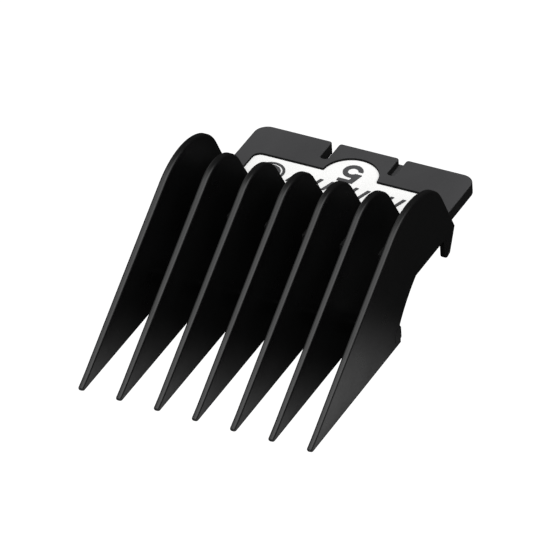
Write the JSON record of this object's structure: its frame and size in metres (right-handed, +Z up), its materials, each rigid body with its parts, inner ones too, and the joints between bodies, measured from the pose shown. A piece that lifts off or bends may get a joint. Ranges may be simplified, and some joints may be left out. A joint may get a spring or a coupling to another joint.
{
  "type": "clipper guard comb",
  "caption": "Clip-on guard comb for a hair clipper, with tall rounded teeth, a slotted finger plate, a white label pocket and rear hooks.",
  "frame": {"origin": "bottom centre of the whole comb, at the lowest level of the teeth", "axes": "+X across the teeth, +Y from the tips of the teeth towards the finger plate, +Z up on the skin side"},
  "size_m": [0.0432, 0.065, 0.0236],
  "materials": {
    "comb_body": "satin black moulded nylon",
    "raised_marks": "satin dark grey tops of the raised marks",
    "label_paint": "matt white paint fill"
  },
  "bodies": {
    "root": {"tooth_1": "comb_body", "tooth_2": "comb_body", "tooth_3": "comb_body", "tooth_4": "comb_body", "tooth_5": "comb_body", "tooth_6": "comb_body", "tooth_7": "comb_body", "back_plate": "comb_body", "front_tie_bar": "comb_body", "hook_left": "comb_body", "hook_right": "comb_body", "size_number": "raised_marks", "label_marks": "raised_marks", "label_badge": "raised_marks", "label_paint": "label_paint"}
  },
  "joints": []
}
